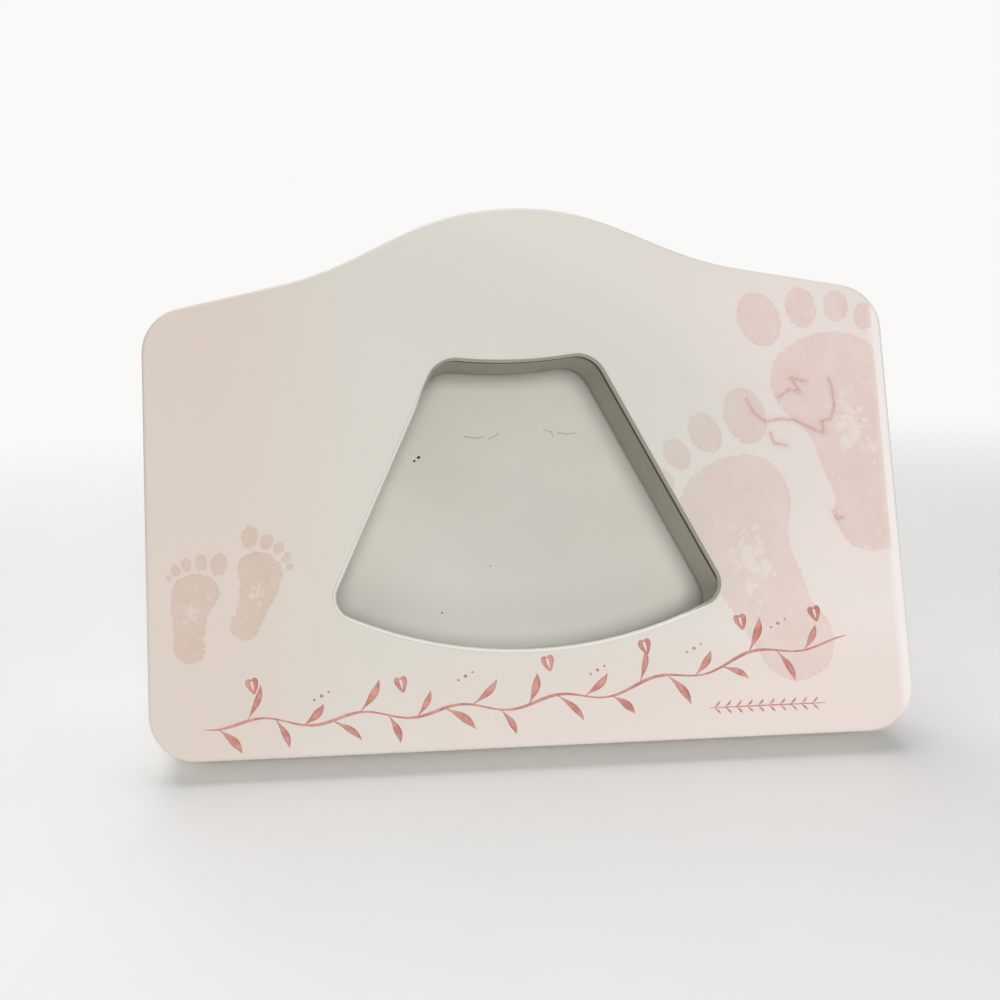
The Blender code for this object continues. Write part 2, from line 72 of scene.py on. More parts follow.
# %% [markdown]
# The picture was taken by hand from close by, a little left of the window and looking down on
# the leaning face. A lens of about 31 mm on a 36 mm wide sensor gives the same perspective.
# The picture was cropped afterwards, which a small shift of the lens stands for.

# %% Camera
CAMERA_PLACE = (-0.04394, -0.23547, 0.11717)
CAMERA_TURN = (78.623, 2.021, -1.651)
LENS_LENGTH = 30.6
SENSOR_WIDTH = 36.0
SHIFT_ACROSS = 0.1225
SHIFT_UP = -0.0086
NEAREST_SEEN = 0.01

bpy.ops.object.camera_add(location=CAMERA_PLACE)
camera = bpy.context.object
camera.rotation_euler = [math.radians(angle) for angle in CAMERA_TURN]
camera.data.lens = LENS_LENGTH
camera.data.sensor_width = SENSOR_WIDTH
camera.data.shift_x = SHIFT_ACROSS
camera.data.shift_y = SHIFT_UP
camera.data.clip_start = NEAREST_SEEN
bpy.context.scene.camera = camera
print("camera at", tuple(round(value, 3) for value in camera.location))

# %% [markdown]
# Every material below is a small tree of nodes. A few helpers keep the trees short. They add a
# node and fill its inputs in order, do arithmetic, mix two colours, or turn a value into a mask
# that rises softly between two limits. Limits are given as spans, and almost all values of a
# noise lie in one span about its middle.

# %% Helpers for node trees
NOISE_SPAN = (0.3, 0.7)


def add_node(tree, kind, *inputs, output=0, **settings):
    """Adds a node, sets or links its inputs in order, and returns one of its outputs."""
    node = tree.nodes.new(kind)
    for name, setting in settings.items():
        setattr(node, name, setting)
    for socket, given in zip(node.inputs, inputs):
        if isinstance(given, bpy.types.NodeSocket):
            tree.links.new(given, socket)
        elif given is not None:
            socket.default_value = given
    return node.outputs[output]


def math_node(tree, operation, *inputs, clamp=False):
    """Arithmetic on numbers."""
    return add_node(tree, "ShaderNodeMath", *inputs, operation=operation, use_clamp=clamp)


def vector_node(tree, operation, *inputs, output=0):
    """Arithmetic on vectors. Output 1 is the number that LENGTH and DOT_PRODUCT give."""
    return add_node(tree, "ShaderNodeVectorMath", *inputs, operation=operation, output=output)


def chain(tree, operation, values, *extra):
    """Joins values one after another by the same operation, such as MINIMUM or MULTIPLY."""
    joined = values[0]
    for value in values[1:]:
        joined = math_node(tree, operation, joined, value, *extra)
    return joined


def split(tree, vector):
    """The three parts of a vector, as values."""
    parts = tree.nodes.new("ShaderNodeSeparateXYZ")
    tree.links.new(vector, parts.inputs[0])
    return parts.outputs


def mix_colours(tree, share, first, second, blend="MIX"):
    """Mixes two colours. A colour is a linked socket or three numbers."""
    mix = tree.nodes.new("ShaderNodeMix")
    mix.data_type = "RGBA"
    mix.blend_type = blend
    for socket, given in ((mix.inputs[0], share), (mix.inputs[6], first), (mix.inputs[7], second)):
        if isinstance(given, bpy.types.NodeSocket):
            tree.links.new(given, socket)
        else:
            socket.default_value = (*given, 1) if isinstance(given, tuple) else given
    return mix.outputs[2]


def soft_mask(tree, value, low, high):
    """0 where the value is at low, 1 at high, and a smooth rise between them."""
    return add_node(
        tree, "ShaderNodeMapRange", value, low, high, 0.0, 1.0, interpolation_type="SMOOTHSTEP"
    )


def ramp(tree, value, low, high, start, end):
    """start where the value is at low, end where it is at high, and a straight line between."""
    return add_node(tree, "ShaderNodeMapRange", value, low, high, start, end)


def tint_where(tree, mask, share, colour, tint):
    """Mixes a share of a tint into a colour where the mask is 1."""
    return mix_colours(tree, math_node(tree, "MULTIPLY", mask, share), colour, tint)


def noise(tree, point, scale, detail=3.0, roughness=0.5):
    """Cloudy values about 0.5. scale is in clouds to the unit that the point is in."""
    return add_node(tree, "ShaderNodeTexNoise", point, None, scale, detail, roughness)


# %% [markdown]
# Patterns on the panel should lie square to it. A Mapping node turns object coordinates by the
# lean and moves them, so that X runs across, Z up the face and Y through it. Another helper
# makes a material and hands back its tree, its shader and the object coordinates to start from.

# %% Helpers for materials
def new_material(name, roughness, metallic=0.0, specular=0.5):
    """A node material. Returns it with its tree, its shader and object coordinates."""
    material = bpy.data.materials.new(name)
    material.use_nodes = True
    tree = material.node_tree
    shader = tree.nodes["Principled BSDF"]
    shader.inputs["Roughness"].default_value = roughness
    shader.inputs["Metallic"].default_value = metallic
    shader.inputs["Specular IOR Level"].default_value = specular
    point = tree.nodes.new("ShaderNodeTexCoord").outputs["Object"]
    return material, tree, shader, point


def panel_point(tree, point):
    """Object coordinates turned into the panel's own, in metres."""
    start = tuple(to_panel.translation)
    return add_node(tree, "ShaderNodeMapping", point, start, (lean, 0.0, 0.0))


def stretched(tree, point, angle, scale):
    """Coordinates turned in the plane of the panel and stretched, for fibres and rubbed lines."""
    return add_node(tree, "ShaderNodeMapping", point, (0, 0, 0), (0, angle, 0), scale)


def face_point(tree, point):
    """Millimetres across and up the face as X and Y, and millimetres behind its front as a value."""
    parts = split(tree, panel_point(tree, point))
    across, through, up = (math_node(tree, "DIVIDE", part, MILLIMETRE) for part in parts)
    flat = add_node(tree, "ShaderNodeCombineXYZ", across, up, 0.0)
    return flat, math_node(tree, "ADD", through, FACE_OUT / MILLIMETRE)


def colour_and_gloss(tree, shader, colour, roughness=None):
    """Gives a shader its colour and, where it varies, its roughness."""
    tree.links.new(colour, shader.inputs["Base Color"])
    if roughness:
        tree.links.new(roughness, shader.inputs["Roughness"])


def add_bump(tree, shader, height, distance, strength):
    """Roughens the surface by a height value. distance is in metres."""
    bump = tree.nodes.new("ShaderNodeBump")
    bump.inputs["Strength"].default_value = strength
    bump.inputs["Distance"].default_value = distance
    tree.links.new(height, bump.inputs["Height"])
    tree.links.new(bump.outputs["Normal"], shader.inputs["Normal"])


# %% [markdown]
# The floor is a plain pale table. It is modelled as a disc whose rim fades out into the
# background, so that no horizon cuts across the picture. The noise on it is very faint.

# %% Floor
FLOOR_RADIUS = 1.6
FLOOR_CORNERS = 96
FLOOR_DULL = (0.93, 0.925, 0.915)
FLOOR_BRIGHT = (0.965, 0.96, 0.95)
FLOOR_FADE = (0.20, 0.85)

bpy.ops.mesh.primitive_circle_add(vertices=FLOOR_CORNERS, radius=FLOOR_RADIUS, fill_type="NGON")
floor = bpy.context.object
floor.name = "floor"
floor_paint, tree, shader, point = new_material("pale_floor", roughness=0.7, specular=0.2)
clouds = noise(tree, point, scale=30.0)
colour = mix_colours(tree, clouds, FLOOR_DULL, FLOOR_BRIGHT)
colour_and_gloss(tree, shader, colour)
radius = vector_node(tree, "LENGTH", point, output=1)
fade = soft_mask(tree, radius, *FLOOR_FADE)
clear = tree.nodes.new("ShaderNodeBsdfTransparent")
blend = add_node(tree, "ShaderNodeMixShader", fade, shader.outputs[0], clear.outputs[0])
tree.links.new(blend, tree.nodes["Material Output"].inputs["Surface"])
floor.data.materials.append(floor_paint)
print("floor radius", FLOOR_RADIUS)

# %% [markdown]
# The light is soft and nearly frontal, a little from the upper right: the walls of the window on
# the right and at the top lie in shade, with a blurred narrow shadow at their foot. A wide lamp
# straight ahead and a smaller one up to its right do that. Neither is mirrored in the glazing.
# Weak lamps at the upper left and behind and a faint even sky fill the shade. The lamp overhead
# lies in the plane of the face, so that it lights only the table.

# %% Lights and sky
FRAME_MIDDLE = (0, 0, 0.07)
TABLE_MIDDLE = (0, 0, 0)
SOFTBOXES = [
    ("front_light", (0.0, -1.13, 0.45), FRAME_MIDDLE, 0.5, 5.9, False),
    ("key_light", (0.18, -1.08, 0.57), FRAME_MIDDLE, 0.25, 1.6, False),
    ("left_light", (-0.8, -0.75, 0.85), FRAME_MIDDLE, 1.0, 2.8, True),
    ("overhead_light", (-0.1, 0.4, 1.3), TABLE_MIDDLE, 1.2, 10.5, True),
    ("back_light", (-0.3, 1.0, 0.7), FRAME_MIDDLE, 0.8, 3.0, True),
]
SKY_COLOUR = (0.98, 0.99, 1.0, 1)
SKY_STRENGTH = 0.10
BACKDROP_COLOUR = (0.95, 0.945, 0.935, 1)


def add_softbox(name, place, target, size, power, mirrored):
    """A square lamp at a place, facing a target. mirrored says whether polished faces reflect it."""
    bpy.ops.object.light_add(type="AREA", location=place)
    lamp = bpy.context.object
    lamp.name = name
    lamp.data.size = size
    lamp.data.energy = power
    lamp.rotation_euler = (Vector(target) - Vector(place)).to_track_quat("-Z", "Y").to_euler()
    lamp.visible_glossy = mirrored


for row in SOFTBOXES:
    add_softbox(*row)

world = bpy.data.worlds.new("studio")
bpy.context.scene.world = world
world.use_nodes = True
sky = world.node_tree
fill = sky.nodes["Background"]
fill.inputs["Color"].default_value = SKY_COLOUR
fill.inputs["Strength"].default_value = SKY_STRENGTH
backdrop = sky.nodes.new("ShaderNodeBackground")
backdrop.inputs["Color"].default_value = BACKDROP_COLOUR
seen = sky.nodes.new("ShaderNodeLightPath").outputs["Is Camera Ray"]
both = add_node(sky, "ShaderNodeMixShader", seen, fill.outputs[0], backdrop.outputs[0])
sky.links.new(both, sky.nodes["World Output"].inputs["Surface"])
bpy.context.scene.view_settings.view_transform = "Standard"
print("lamps:", len(SOFTBOXES))

# %% [markdown]
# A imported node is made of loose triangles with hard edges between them. The real pieces are
# sanded, moulded or rolled, and their edges catch the light. A copy of each node is merged, its
# level triangles are joined, and the normals that came with the triangles are dropped. A narrow
# bevel eases the edges where one is asked for. New normals are weighted by area, so that flat
# faces stay flat.

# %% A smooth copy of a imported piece
MERGE_DISTANCE = 0.000002
LEVEL_WITHIN = math.radians(0.4)
SHARP_FROM = math.radians(40)
BEVEL_STEPS = 2
BODY_OF_NODE = {
    node: body for body, nodes in frame["record"]["behaviour"]["bodies"].items() for node in nodes
}


def only(piece):
    """Selects one object and makes it the active one."""
    bpy.ops.object.select_all(action="DESELECT")
    piece.select_set(True)
    bpy.context.view_layer.objects.active = piece


def smooth_copy(node, name, material, bevel=0.0):
    """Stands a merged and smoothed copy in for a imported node."""
    packed = frame["nodes"][node]
    piece = bpy.data.objects.new(name, packed.data.copy())
    bpy.context.scene.collection.objects.link(piece)
    only(piece)
    piece.data.materials.clear()
    piece.data.materials.append(material)
    bpy.ops.object.mode_set(mode="EDIT")
    bpy.ops.mesh.select_all(action="SELECT")
    bpy.ops.mesh.remove_doubles(threshold=MERGE_DISTANCE)
    bpy.ops.mesh.dissolve_limited(angle_limit=LEVEL_WITHIN)
    bpy.ops.object.mode_set(mode="OBJECT")
    if bevel:
        edge = piece.modifiers.new("eased_edges", "BEVEL")
        edge.width = bevel
        edge.segments = BEVEL_STEPS
        edge.limit_method = "ANGLE"
        edge.angle_limit = SHARP_FROM
        edge.use_clamp_overlap = True
        bpy.ops.object.modifier_apply(modifier=edge.name)
    bpy.ops.mesh.customdata_custom_splitnormals_clear()
    bpy.ops.object.shade_smooth_by_angle(angle=SHARP_FROM)
    weighted = piece.modifiers.new("flat_faces", "WEIGHTED_NORMAL")
    weighted.keep_sharp = True
    bpy.ops.object.modifier_apply(modifier=weighted.name)
    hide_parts(node)
    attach(piece, BODY_OF_NODE[node])
    return piece


# %% [markdown]
# The print on the face is four footprints in pale pink, two small and two large. A footprint is
# a common figure, and here it is drawn once: ovals for heel, arch, ball and toes. Each oval is
# a Mapping node that shrinks the plane to a unit circle, and a smooth minimum melts the ovals
# of the sole together. The group gives the distance to the footprint's edge, in sole lengths, and
# the distance to the hollow of the arch, where a creased sole leaves bare patches.

# %% One footprint as a node group
SOLE = [
    ((0.010, 0.165), (0.155, 0.165), 0),
    ((0.030, 0.420), (0.165, 0.270), 4),
    ((0.050, 0.620), (0.190, 0.200), 0),
    ((0.005, 0.785), (0.235, 0.225), 12),
    ((-0.100, 0.830), (0.135, 0.150), 0),
]
TOES = [
    ((-0.218, 1.140), (0.088, 0.128), 6),
    ((-0.032, 1.146), (0.064, 0.094), -4),
    ((0.115, 1.112), (0.052, 0.074), -10),
    ((0.220, 1.038), (0.044, 0.062), -16),
    ((0.285, 0.945), (0.034, 0.042), -22),
]
ARCH = ((0.030, 0.560), (0.085, 0.150), 4)
MELT = 0.10
CREASE_SCALE = 17.0
CREASE_REACH = 0.5
CREASE_MIDDLE = 0.44


def new_group(name, inputs, outputs):
    """An empty shader group with named sockets. Returns the group, its input node and output node."""
    group = bpy.data.node_groups.new(name, "ShaderNodeTree")
    for socket, kind in inputs:
        group.interface.new_socket(name=socket, in_out="INPUT", socket_type="NodeSocket" + kind)
    for socket, kind in outputs:
        group.interface.new_socket(name=socket, in_out="OUTPUT", socket_type="NodeSocket" + kind)
    return group, group.nodes.new("NodeGroupInput"), group.nodes.new("NodeGroupOutput")


def oval(tree, point, centre, half_size, turn):
    """Distance to an oval's edge, below zero inside it."""
    place = (*centre, 0.0)
    angle = (0.0, 0.0, math.radians(turn))
    unit = add_node(
        tree, "ShaderNodeMapping", point, place, angle, (*half_size, 1.0), vector_type="TEXTURE"
    )
    length = vector_node(tree, "LENGTH", unit, output=1)
    return math_node(tree, "MULTIPLY_ADD", length, min(half_size), -min(half_size))


footprint, group_in, group_out = new_group(
    "footprint", [("Point", "Vector")], [("Distance", "Float"), ("Arch", "Float")]
)
local = group_in.outputs[0]
sole = chain(footprint, "SMOOTH_MIN", [oval(footprint, local, *shape) for shape in SOLE], MELT)
toes = [oval(footprint, local, *shape) for shape in TOES]
footprint.links.new(chain(footprint, "MINIMUM", [sole, *toes]), group_out.inputs[0])
creased = noise(footprint, local, scale=CREASE_SCALE, detail=4.0, roughness=0.65)
creased = math_node(footprint, "MULTIPLY_ADD", creased, CREASE_REACH, -CREASE_MIDDLE * CREASE_REACH)
hollow = math_node(footprint, "ADD", oval(footprint, local, *ARCH), creased)
footprint.links.new(hollow, group_out.inputs[1])
print("ovals in a footprint:", len(SOLE) + len(TOES))

# %% [markdown]
# Scuffs on the right of the face are short crooked lines. A second group measures the distance
# from a point to one straight stroke, and a chain of strokes makes a scuff.

# %% One straight stroke as a node group
CORNER_MELT = 0.6

stroke, group_in, group_out = new_group(
    "stroke", [("Point", "Vector"), ("Start", "Vector"), ("End", "Vector")], [("Distance", "Float")]
)
place, start, end = group_in.outputs[:3]
start_to_point = vector_node(stroke, "SUBTRACT", place, start)
start_to_end = vector_node(stroke, "SUBTRACT", end, start)
along = vector_node(stroke, "DOT_PRODUCT", start_to_point, start_to_end, output=1)
whole = vector_node(stroke, "DOT_PRODUCT", start_to_end, start_to_end, output=1)
share = math_node(stroke, "DIVIDE", along, whole, clamp=True)
foot = vector_node(stroke, "SCALE", start_to_end, None, None, share)
aside = vector_node(stroke, "SUBTRACT", start_to_point, foot)
stroke.links.new(vector_node(stroke, "LENGTH", aside, output=1), group_out.inputs[0])


def scuff(tree, point, places):
    """Distance to a crooked line through places, in millimetres, with its corners rounded."""
    distances = []
    for start, end in zip(places, places[1:]):
        part = tree.nodes.new("ShaderNodeGroup")
        part.node_tree = stroke
        tree.links.new(point, part.inputs[0])
        part.inputs[1].default_value = (*start, 0.0)
        part.inputs[2].default_value = (*end, 0.0)
        distances.append(part.outputs[0])
    return chain(tree, "SMOOTH_MIN", distances, CORNER_MELT)


def nearest_scuff(tree, point, scuffs):
    """Distance to the nearest of several crooked lines."""
    return chain(tree, "MINIMUM", [scuff(tree, point, places) for places in scuffs])


print("stroke group nodes:", len(stroke.nodes))

# %% [markdown]
# The printed sheet is smooth coated board. Its ground is a warm ivory that turns pink towards
# both sides. The four footprints are placed on it by where the heel is, how long the sole is
# and how far it turns. Their ink is thin and mottled, with a ragged edge, and it stops just
# short of the rounded rim. Noise that shifts the plane a little gives the ragged edge.

# %% Printed ivory face
FOOTPRINTS = [
    {"heel": (-90.2, 25.6), "sole": 23.2, "turn": -6, "mirror": True, "wide": 1.10, "ink": 0.66},
    {"heel": (-77.0, 31.4), "sole": 23.2, "turn": -19, "mirror": False, "wide": 1.08, "ink": 0.66},
    {"heel": (95.6, 47.6), "sole": 60.5, "turn": 12, "mirror": False, "wide": 1.08, "ink": 0.54},
    {"heel": (75.2, 15.4), "sole": 61.5, "turn": 22.5, "mirror": True, "wide": 1.05, "ink": 0.50},
]
RAGGED_REACH = 2.6
EDGE_BLUR = 0.22
BARE_SPAN = (-0.03, 0.0)
BARE_SHARE = 0.15
RIM_SPAN = (-0.65, -0.15)
RIM_EXTRA = 0.22


def add_footprint(tree, point, heel, sole, turn, mirror, wide, ink):
    """How much pink ink a footprint puts at each point, from 0 to its full strength."""
    place = (*heel, 0.0)
    angle = (0.0, 0.0, math.radians(turn))
    size = (-sole * wide if mirror else sole * wide, sole, 1.0)
    local = add_node(tree, "ShaderNodeMapping", point, place, angle, size, vector_type="TEXTURE")
    shape = tree.nodes.new("ShaderNodeGroup")
    shape.node_tree = footprint
    tree.links.new(local, shape.inputs[0])
    distance = math_node(tree, "MULTIPLY", shape.outputs[0], sole)
    inside = math_node(tree, "MULTIPLY", soft_mask(tree, distance, EDGE_BLUR, -EDGE_BLUR), ink)
    pressed = ramp(tree, shape.outputs[1], *BARE_SPAN, BARE_SHARE, 1.0)
    rim = math_node(tree, "MULTIPLY_ADD", soft_mask(tree, distance, *RIM_SPAN), RIM_EXTRA, 1.0)
    return math_node(tree, "MULTIPLY", inside, math_node(tree, "MULTIPLY", pressed, rim))


face_print, tree, shader, point = new_material("printed_ivory", roughness=0.46, specular=0.4)
flat, behind = face_point(tree, point)
ragged = add_node(tree, "ShaderNodeTexNoise", flat, None, 0.8, 5.0, 0.72, output=1)
shift = vector_node(tree, "SUBTRACT", ragged, (0.5, 0.5, 0.5))
drawn = vector_node(tree, "MULTIPLY_ADD", shift, (RAGGED_REACH, RAGGED_REACH, 0.0), flat)
inks = [add_footprint(tree, drawn, **row) for row in FOOTPRINTS]
ink = chain(tree, "MAXIMUM", inks)
print("footprints:", len(inks))

# %% [markdown]
# The ink of such a print is never even. Broad clouds make it thinner here and there, small
# flecks are missing where the sole had creases, and nothing is printed on the rim or in the cut
# of the window.

# %% Uneven ink
PRINT_HALF_WIDTH = 98.4
PRINT_FADE = 0.15
BROAD_SPAN = (0.35, 0.62)
FLECK_SPAN = (0.63, 0.58)
CUT_STARTS = (0.30, 0.08)
THINNEST = 0.66
FLECK_INK = 0.2
PALEST = 0.82

broad = noise(tree, flat, scale=0.12, detail=4.0, roughness=0.6)
fine = noise(tree, flat, scale=1.6, detail=3.0, roughness=0.6)
flecks = noise(tree, flat, scale=0.55, detail=6.0, roughness=0.75)
across, up = split(tree, flat)[:2]
reach = math_node(tree, "ABSOLUTE", across)
ink_shares = [
    ink,
    ramp(tree, broad, *BROAD_SPAN, THINNEST, 1.0),
    ramp(tree, soft_mask(tree, flecks, *FLECK_SPAN), 0.0, 1.0, FLECK_INK, 1.0),
    ramp(tree, fine, *NOISE_SPAN, PALEST, 1.0),
    soft_mask(tree, reach, PRINT_HALF_WIDTH + PRINT_FADE, PRINT_HALF_WIDTH - PRINT_FADE),
    soft_mask(tree, behind, *CUT_STARTS),
]
ink = chain(tree, "MULTIPLY", ink_shares)
print("shares that the ink is multiplied by:", len(ink_shares) - 1)

# %% [markdown]
# Under the ink the paper is ivory in the middle and pink at both sides. The right side is also
# painted lighter, as painted light from the right. Paler patches low and high on the right are
# painted light too, and the rounded right edge is palest as a painted highlight. A faint blush lies
# low in the middle, and very broad dull clouds keep the whole from looking flat.

# %% The pink sides, with painted light on the right
IVORY = (0.745, 0.725, 0.655)
PINK_LEFT = (0.765, 0.66, 0.595)
PINK_RIGHT_WITH_PAINTED_LIGHT = (0.875, 0.78, 0.735)
PAPER_DULL = (0.66, 0.66, 0.60)
PAINTED_LIGHT_PAPER = (0.945, 0.855, 0.81)
BLUSH = (0.80, 0.65, 0.58)
RIM_PAINTED_HIGHLIGHT = (0.98, 0.92, 0.885)
LEFT_SPAN = (-30.0, -86.0)
RIGHT_SPAN = (30.0, 88.0)
RIGHT_RIM_SPAN = (96.5, 99.5)
PAINTED_LIGHT_CORNERS = [(-0.35, (45.0, -25.0), 0.75), (0.5, (112.0, 150.0), 0.35)]
BLUSH_ACROSS = (-70.0, -20.0)
BLUSH_UP = (34.0, 14.0)
BLUSH_SHARE = 0.3
DULL_SHARE = 0.10

ground = mix_colours(tree, soft_mask(tree, across, *LEFT_SPAN), IVORY, PINK_LEFT)
# The right side is pink, and also painted lighter: painted light from the right.
ground = mix_colours(tree, soft_mask(tree, across, *RIGHT_SPAN), ground, PINK_RIGHT_WITH_PAINTED_LIGHT)
dull = ramp(tree, noise(tree, flat, scale=0.05), *NOISE_SPAN, 0.0, DULL_SHARE)
ground = mix_colours(tree, dull, ground, PAPER_DULL)
# Painted light: patches low and high on the right are painted paler where the lamps fall short.
for slope, span, share in PAINTED_LIGHT_CORNERS:
    painted_light_corner = soft_mask(tree, math_node(tree, "MULTIPLY_ADD", across, slope, up), *span)
    ground = tint_where(tree, painted_light_corner, share, ground, PAINTED_LIGHT_PAPER)
low = soft_mask(tree, up, *BLUSH_UP)
low = math_node(tree, "MULTIPLY", low, soft_mask(tree, across, *BLUSH_ACROSS))
ground = tint_where(tree, low, BLUSH_SHARE, ground, BLUSH)
# Painted highlight: the rounded right edge is painted palest.
ground = mix_colours(tree, soft_mask(tree, across, *RIGHT_RIM_SPAN), ground, RIM_PAINTED_HIGHLIGHT)
print("nodes in the print so far:", len(tree.nodes))

# %% [markdown]
# The window is cut with a bevel, which bares the board's white core. The white line at its edge is
# partly a painted highlight, narrower on the right and at the top. Deeper in the cut the core is
# cream, and on the right and at the top it is grey with painted shade. At the back of the cut is a
# brown line, partly glue and partly painted shadow under the edge. The ink goes on last and
# darkens whatever lies under it.

# %% The cut of the window
WINDOW_PLACE = (0.0, 65.0)
WINDOW_REACH = (70.0, 50.0)
WINDOW_FADE = (4.0, 0.0)
UP_AND_RIGHT = (0.75, 0.9, 0.0)
WHITE_CORE_AND_HIGHLIGHT = (0.97, 0.95, 0.88)
CORE_CREAM = (0.72, 0.70, 0.62)
CORE_PAINTED_SHADE = (0.37, 0.355, 0.30)
CUT_EDGE = (0.60, 0.575, 0.50)
GLUE_AND_SHADOW_BROWN = (0.085, 0.050, 0.038)
INK_PINK = (0.89, 0.66, 0.62)
INK_BEIGE = (0.86, 0.70, 0.62)
SHADE_SIDE_SPAN = (58.0, 70.0)
SHADE_NARROWS_WHITE = 0.38
WHITE_SPAN = (0.84, 0.60)
BEVEL_STARTS = (0.12, 0.30)
EDGE_STARTS = (1.0, 1.15)
GLUE_AND_SHADOW_STARTS = (1.35, 1.55)
BEIGE_SPAN = (-30.0, -60.0)


def round_window(tree, flat):
    """1 near the window, 0 near the outer edge of the panel."""
    return soft_mask(tree, oval(tree, flat, WINDOW_PLACE, WINDOW_REACH, 0), *WINDOW_FADE)


def up_and_right(tree, flat):
    """A value in about millimetres that grows towards the upper right of the window."""
    return vector_node(tree, "DOT_PRODUCT", flat, UP_AND_RIGHT, output=1)


inner = round_window(tree, flat)
# Painted shade on the upper right of the cut: the core is grey there and its white line narrower.
painted_shade_side = soft_mask(tree, up_and_right(tree, flat), *SHADE_SIDE_SPAN)
core = mix_colours(tree, painted_shade_side, CORE_CREAM, CORE_PAINTED_SHADE)
highlight_depth = math_node(tree, "MULTIPLY_ADD", painted_shade_side, SHADE_NARROWS_WHITE, behind)
core = mix_colours(tree, soft_mask(tree, highlight_depth, *WHITE_SPAN), core, WHITE_CORE_AND_HIGHLIGHT)
# The brown layer at the back of the cut is glue and painted shadow under the sheet's edge.
layers = ((BEVEL_STARTS, core), (EDGE_STARTS, CUT_EDGE), (GLUE_AND_SHADOW_STARTS, GLUE_AND_SHADOW_BROWN))
for starts, layer in layers:
    ground = tint_where(tree, soft_mask(tree, behind, *starts), inner, ground, layer)
ink_colour = mix_colours(tree, soft_mask(tree, across, *BEIGE_SPAN), INK_PINK, INK_BEIGE)
inked = mix_colours(tree, 1.0, ground, ink_colour, "MULTIPLY")
colour = mix_colours(tree, ink, ground, inked)
print("nodes with the cut:", len(tree.nodes))

# %% [markdown]
# Years on a shelf show on the right: a crooked reddish scuff over the toes of the large
# footprint, a small hook under it and a few rubbed flecks. They sit on top of the print. A fine
# grain goes over everything and varies the colour and the gloss a little.

# %% Scuffs and grain
SCUFFS = [
    [(62.2, 90.0), (64.0, 86.2), (67.0, 83.7), (71.0, 84.3), (75.0, 83.8), (79.5, 81.4), (82.6, 79.9)],
    [(82.6, 79.9), (82.4, 83.2), (85.0, 84.0), (86.2, 87.5), (85.9, 92.5), (85.2, 95.0)],
    [(68.0, 80.6), (68.8, 77.8), (72.0, 77.0)],
    [(71.0, 90.3), (74.0, 92.2), (77.0, 91.6), (75.0, 95.4), (78.8, 94.4)],
    [(83.4, 58.6), (84.3, 56.6), (86.0, 57.0)],
]
SCUFF_RED = (0.62, 0.30, 0.27)
SCUFF_SPAN = (0.70, 0.08)
SMEAR_SPAN = (2.2, 0.4)
SMEAR_SHARE = 0.10
PATCH_SPAN = (0.38, 0.60)
PATCH_SHARES = (0.22, 0.58)
SPECKLE_SHADES = (0.965, 1.03)
FACE_ROUGHNESS = (0.40, 0.54)

worn = nearest_scuff(tree, flat, SCUFFS)
mark = soft_mask(tree, worn, *SCUFF_SPAN)
patchy = ramp(tree, fine, *PATCH_SPAN, *PATCH_SHARES)
smear = math_node(tree, "MULTIPLY", soft_mask(tree, worn, *SMEAR_SPAN), SMEAR_SHARE)
mark = math_node(tree, "MULTIPLY_ADD", mark, patchy, smear)
colour = mix_colours(tree, mark, colour, SCUFF_RED)
grain = noise(tree, flat, scale=3.2, detail=2.0, roughness=0.6)
speckle = ramp(tree, grain, *NOISE_SPAN, *SPECKLE_SHADES)
tint = add_node(tree, "ShaderNodeCombineXYZ", speckle, speckle, speckle)
colour = mix_colours(tree, 1.0, colour, tint, "MULTIPLY")
colour_and_gloss(tree, shader, colour, ramp(tree, grain, *NOISE_SPAN, *FACE_ROUGHNESS))
add_bump(tree, shader, grain, distance=0.00002, strength=0.6)
printed_face = smooth_copy("face_panel", "printed_face", face_print)
print("printed face faces:", len(printed_face.data.polygons))

# %% [markdown]
# The body is moulded fibreboard under matt cream paint. Such paint has a fine orange-peel skin
# from the spray gun, with a little dust in it. Inside the window the walls carry painted shade:
# they are grey, darker towards the top and on the right, and cream on the lower left. Right behind
# the printed sheet a dark brown line stands for glue and for painted shadow under the sheet.

# %% Painted body
CREAM = (0.72, 0.695, 0.615)
CREAM_WARM = (0.77, 0.74, 0.655)
WALL_TOP_PAINTED_SHADE = (0.36, 0.35, 0.285)
WALL_FOOT_PAINTED_SHADE = (0.58, 0.565, 0.49)
DUST_BROWN = (0.45, 0.42, 0.36)
WALL_DEPTH = 20.0
WALL_FADE = 0.2
WALL_SPAN = (90.0, 25.0)
WALL_CLOUDS = 12.0
LIT_SIDE_SPAN = (74.0, 52.0)
DUST_SPAN = (0.60, 0.72)
DUST_SHARE = 0.25
SHADOW_LINE_DEEPER = 1.6
SHADOW_LINE_WAVES = 0.6
SHADOW_LINE_SPAN = (2.2, 1.9)
PAINT_ROUGHNESS = (0.48, 0.62)

body_paint, tree, shader, point = new_material("cream_paint", roughness=0.55, specular=0.35)
place = panel_point(tree, point)
skin = noise(tree, place, scale=900.0, detail=2.0)
clouds = noise(tree, place, scale=45.0, detail=4.0)
flat, behind = face_point(tree, point)
height = split(tree, flat)[1]
